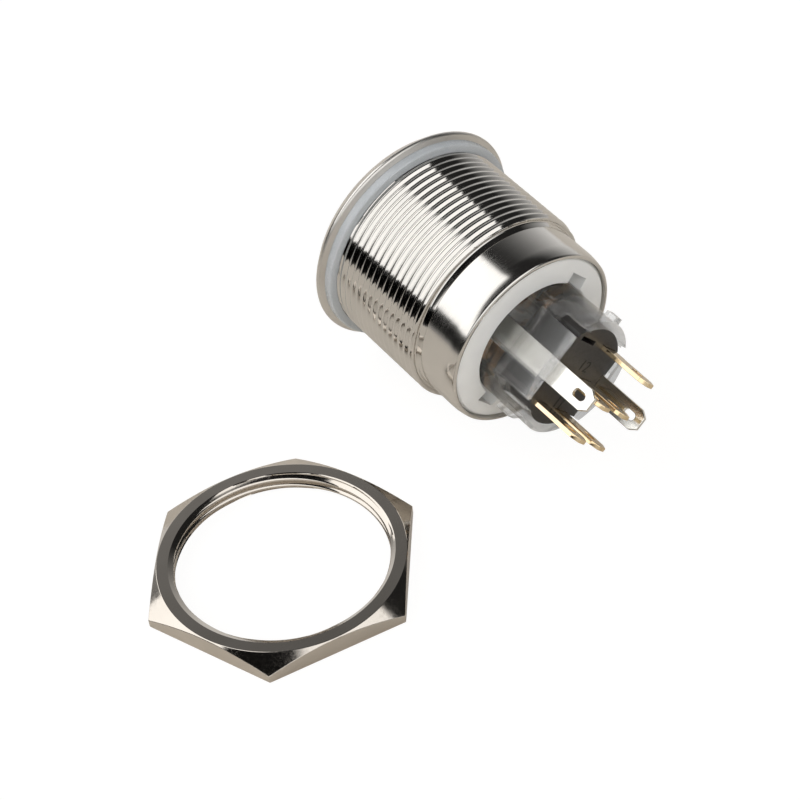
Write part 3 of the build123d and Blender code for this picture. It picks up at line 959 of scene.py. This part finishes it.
@dataclass
class RearInsert:
    """What shows in the rear: retaining ring, clear housing and the black contact base with its numbers."""

    base_rear: float = 27.9
    number_size: float = 2.1
    number_rise: float = 0.02
    numbers: tuple[tuple[str, float, float], ...] = (
        ("11", -3.53, -0.84),
        ("12", 1.57, -0.42),
    )
    ring_edge: float = 0.12
    housing_edge: float = 0.14
    base_edge: float = 0.07

    def number(self, text: str, u: float, v: float, finish: bpy.types.Material) -> bpy.types.Object:
        """Sets one plain number on the contact base.

        Args:
            text: The number.
            u: Its place along the columns.
            v: Its place across them.
            finish: Its material.

        Returns:
            The piece.
        """
        letters = bpy.data.curves.new(f"number_{text}", "FONT")
        letters.body = text
        letters.size = self.number_size
        letters.align_x = "CENTER"
        letters.align_y = "CENTER"
        letters.extrude = self.number_rise
        letters.resolution_u = 4
        carrier = bpy.data.objects.new(f"number_{text}", letters)
        bpy.context.scene.collection.objects.link(carrier)
        mesh = evaluated(carrier)
        right = along_row(0, -1, 0)
        upward = along_row(1, 0, 0)
        turn = Matrix((right, upward, Vector((0, 1, 0)))).transposed().to_4x4()
        mesh.transform(Matrix.Translation(along_row(u, v, self.base_rear) * MM) @ turn @ Matrix.Scale(MM, 4))
        return finished(f"number_{text}", mesh, finish, Body.SWITCH)

    def build(self, white: bpy.types.Material, clear: bpy.types.Material, black: bpy.types.Material) -> None:
        """Builds the visible rear pieces in place of their CAD nodes.

        Args:
            white: Finish of the retaining ring.
            clear: Finish of the housing.
            black: Finish of the contact base.
        """
        dressed_copy("retaining_ring", "ring_moulded", white, Body.SWITCH, self.ring_edge)
        dressed_copy("inner_housing", "housing_clear", clear, Body.SWITCH, self.housing_edge)
        dressed_copy("contact_base", "base_moulded", black, Body.SWITCH, self.base_edge)
        ink = MARK.build()
        for text, u, v in self.numbers:
            self.number(text, u, v, ink)


@dataclass
class Blades:
    """The five contact blades and the two lamp blades, with stamped edges."""

    edge: float = 0.07
    contacts: int = 5

    def build(self, gold: bpy.types.Material, tin: bpy.types.Material) -> None:
        """Builds the blades in place of their CAD nodes.

        Args:
            gold: Finish of the contact blades.
            tin: Finish of the lamp blades.
        """
        for number in range(1, self.contacts + 1):
            node = f"contact_blade_{number}"
            dressed_copy(node, f"blade_stamped_{number}", gold, Body.SWITCH, self.edge)
        for place in ("near", "far"):
            dressed_copy(f"lamp_blade_{place}", f"lamp_stamped_{place}", tin, Body.SWITCH, self.edge)


@dataclass
class FrontPieces:
    """The button cap and the light ring, seen from the front."""

    edge: float = 0.08

    def build(self, cap: bpy.types.Material, milky: bpy.types.Material) -> None:
        """Builds the cap and the light ring in place of their CAD nodes."""
        dressed_copy("button_cap", "cap_turned", cap, Body.BUTTON, self.edge)
        dressed_copy("light_ring", "light_ring_moulded", milky, Body.SWITCH, self.edge)


@dataclass
class Internals:
    """The hidden pieces, which keep their CAD solids and get their finishes."""

    finishes: dict[str, tuple[str, ...]] = field(
        default_factory=lambda: {
            "seal_rubber": ("button_seal", "lens_seal"),
            "spring_steel": ("button_clip", "return_spring", "contact_spring_near", "contact_spring_far"),
            "contact_bronze": ("contact_bridge_near", "contact_bridge_far"),
            "milky_plastic": ("plunger",),
            "board": ("lamp_board",),
            "diode": ("lamp_diodes",),
        }
    )

    def build(self, made: dict[str, bpy.types.Material]) -> None:
        """Gives every hidden node its finish.

        Args:
            made: Materials by slot name.
        """
        for slot, nodes in self.finishes.items():
            for node in nodes:
                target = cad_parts[node]
                if not target.material_slots:
                    target.data.materials.append(made[slot])
                for place in target.material_slots:
                    place.material = made[slot]
                LOG.info("%s keeps its solid, in %s", node, slot)


# Studio


@dataclass(frozen=True)
class Panel:
    """One soft light panel overhead, as the ranges of x and y over z that it fills."""

    across: tuple[float, float]
    along: tuple[float, float]
    strength: float


@dataclass
class Studio:
    """Camera, floor, and the light of two soft panels overhead in a dim room."""

    position: tuple[float, float, float] = (111.490, 146.002, 179.045)
    right: tuple[float, float, float] = (-0.790845, 0.611690, -0.020015)
    down: tuple[float, float, float] = (0.468588, 0.584146, -0.662720)
    forward: tuple[float, float, float] = (-0.393687, -0.533487, -0.748600)
    lens: float = 96.808
    floor_point: tuple[float, float, float] = (0.0, -1.8, -14.1)
    floor_slope: float = radians(6.3385)
    floor_reach: tuple[float, float, float] = (-400.0, 130.0, 400.0)
    floor_colour: tuple[float, float, float] = (0.82, 0.77, 0.70)
    floor_glow: float = 1.1
    floor_share: float = 0.85
    panels: tuple[Panel, ...] = (
        Panel((-0.02, 4.1), (-2.6, -0.3), 1.75),
        Panel((-0.72, 4.1), (0.21, 2.1), 1.5),
    )
    panel_soft: float = 0.03
    dome_reach: float = 0.85
    dome_peak: float = 0.8
    dome_limits: tuple[float, float] = (0.02, 0.85)
    dome_right: float = 0.35
    band_height: tuple[float, float] = (-0.12, 0.2)
    low_height: tuple[float, float] = (-0.1, 0.42)
    low_strength: float = 0.6

    def camera(self) -> bpy.types.Object:
        """Places the camera as the photograph's."""
        data = bpy.data.cameras.new("camera")
        data.lens = self.lens
        data.sensor_width = 36.0
        data.clip_start = 0.01
        data.clip_end = 20.0
        camera = bpy.data.objects.new("camera", data)
        columns = (Vector(self.right), -Vector(self.down), -Vector(self.forward))
        turn = Matrix(columns).transposed().to_4x4()
        camera.matrix_world = Matrix.Translation(Vector(self.position) * MM) @ turn
        bpy.context.scene.collection.objects.link(camera)
        bpy.context.scene.camera = camera
        return camera

    def floor(self) -> bpy.types.Object:
        """Lays the pale floor under the switch and the nut, on the plane that both rest on."""
        along = Vector((0.0, cos(self.floor_slope), sin(self.floor_slope)))
        start = Vector(self.floor_point)
        left, right, reach = self.floor_reach
        spots = ((left, -reach), (right, -reach), (right, reach), (left, reach))
        corners = [start + Vector((x, 0, 0)) + along * y for x, y in spots]
        mesh = bpy.data.meshes.new("floor")
        mesh.from_pydata([c * MM for c in corners], [], [(0, 1, 2, 3)])
        floor = bpy.data.objects.new("floor", mesh)
        bpy.context.scene.collection.objects.link(floor)
        material = bpy.data.materials.new("floor")
        material.use_nodes = True
        tree = material.node_tree
        tree.nodes.clear()
        formula = Formula(tree)
        ray = tree.nodes.new("ShaderNodeLightPath")
        matt = tree.nodes.new("ShaderNodeBsdfDiffuse")
        matt.inputs["Color"].default_value = (*self.floor_colour, 1.0)
        glow = tree.nodes.new("ShaderNodeEmission")
        glow.inputs["Strength"].default_value = self.floor_glow
        mix = tree.nodes.new("ShaderNodeMixShader")
        out = tree.nodes.new("ShaderNodeOutputMaterial")
        seen = formula.do("MAXIMUM", ray.outputs["Is Camera Ray"], ray.outputs["Is Transmission Ray"])
        tree.links.new(formula.do("MULTIPLY", seen, self.floor_share), mix.inputs[0])
        tree.links.new(matt.outputs["BSDF"], mix.inputs[1])
        tree.links.new(glow.outputs["Emission"], mix.inputs[2])
        tree.links.new(mix.outputs["Shader"], out.inputs["Surface"])
        mesh.materials.append(material)
        return floor

    def overhead(self, f: Formula, x: object, y: object, z: object) -> bpy.types.NodeSocket:
        """Light of the panels in a direction."""
        high = f.do("MAXIMUM", z, 0.001)
        p, q = f.do("DIVIDE", x, high), f.do("DIVIDE", y, high)
        lit = 0.0
        for panel in self.panels:
            across = f.window(p, *panel.across, self.panel_soft)
            along = f.window(q, *panel.along, self.panel_soft)
            lit = f.do("MAXIMUM", lit, f.do("MULTIPLY", f.do("MULTIPLY", across, along), panel.strength))
        return f.do("MULTIPLY", lit, f.step(z, 0.0, self.panel_soft))

    def dome(self, f: Formula, x: object, y: object, z: object) -> bpy.types.NodeSocket:
        """Light of the room, strongest low down towards the front and left, with a dark band on the right."""
        lean = f.do("ADD", z, f.do("MULTIPLY", f.do("ADD", y, 0.54), 0.5))
        fade = f.do("MAXIMUM", f.do("SUBTRACT", 1.0, f.do("DIVIDE", lean, self.dome_reach)), 0.0)
        least, most = self.dome_limits
        glow = f.do("MULTIPLY", f.do("POWER", fade, 1.2), self.dome_peak)
        glow = f.do("MAXIMUM", f.do("MINIMUM", glow, most), least)
        left = f.step(x, 0.35, 0.0)
        band = f.do("MULTIPLY", f.window(z, *self.band_height, self.panel_soft), f.step(x, 0.2, 0.4))
        glow = f.do("MULTIPLY", glow, f.do("SUBTRACT", 1.0, band))
        side = f.do("ADD", self.dome_right, f.do("MULTIPLY", left, 1.0 - self.dome_right))
        return f.do("MULTIPLY", glow, side)

    def sky(self) -> None:
        """Makes the world: white to the camera, panels and room for light and reflections."""
        world = bpy.data.worlds.new("studio")
        bpy.context.scene.world = world
        world.use_nodes = True
        tree = world.node_tree
        tree.nodes.clear()
        f = Formula(tree)
        place = tree.nodes.new("ShaderNodeTexCoord")
        split = tree.nodes.new("ShaderNodeSeparateXYZ")
        tree.links.new(place.outputs["Generated"], split.inputs["Vector"])
        x, y, z = (split.outputs[name] for name in "XYZ")
        low = f.do("MULTIPLY", f.step(y, 0.62, 0.85), f.window(z, *self.low_height, 0.08))
        bright = f.do("MAXIMUM", self.overhead(f, x, y, z), self.dome(f, x, y, z))
        total = f.do("MAXIMUM", bright, f.do("MULTIPLY", low, self.low_strength))
        ray = tree.nodes.new("ShaderNodeLightPath")
        plain = f.do("MAXIMUM", ray.outputs["Is Camera Ray"], ray.outputs["Is Transmission Ray"])
        light = tree.nodes.new("ShaderNodeBackground")
        white = tree.nodes.new("ShaderNodeBackground")
        mix = tree.nodes.new("ShaderNodeMixShader")
        out = tree.nodes.new("ShaderNodeOutputWorld")
        tree.links.new(total, light.inputs["Strength"])
        light.inputs["Color"].default_value = (1.0, 1.0, 1.0, 1.0)
        white.inputs["Color"].default_value = (1.0, 1.0, 1.0, 1.0)
        tree.links.new(plain, mix.inputs[0])
        tree.links.new(light.outputs["Background"], mix.inputs[1])
        tree.links.new(white.outputs["Background"], mix.inputs[2])
        tree.links.new(mix.outputs["Shader"], out.inputs["Surface"])

    def build(self) -> None:
        """Sets up the camera, the floor, the light and the plain view."""
        scene = bpy.context.scene
        scene.view_settings.view_transform = "Standard"
        scene.cycles.max_bounces = 16
        scene.cycles.glossy_bounces = 12
        scene.cycles.transmission_bounces = 16
        self.camera()
        self.floor()
        self.sky()


def main() -> None:
    """Builds every sub-assembly in order."""
    logging.basicConfig(level=logging.INFO, format="%(name)s %(message)s")
    finishes = {
        finish.name: finish.build()
        for finish in (
            NICKEL, NUT_NICKEL, CAP_METAL, GOLD, TIN, BRONZE, SPRING, RING_WHITE,
            BASE_BLACK, MILKY, RUBBER, BOARD, DIODE, CLEAR, SILICONE,
        )
    }
    Studio().build()
    Barrel().build(finishes["nickel_barrel"])
    PanelNut().build(finishes["nickel_nut"])
    FlangeGasket().build(finishes["silicone"])
    RearInsert().build(finishes["white_plastic"], finishes["clear_plastic"], finishes["black_plastic"])
    Blades().build(finishes["gold_plate"], finishes["tin_plate"])
    FrontPieces().build(finishes["brushed_cap"], finishes["milky_plastic"])
    Internals().build(finishes)
    LOG.info("boxes written")


if __name__ == "__main__":
    main()
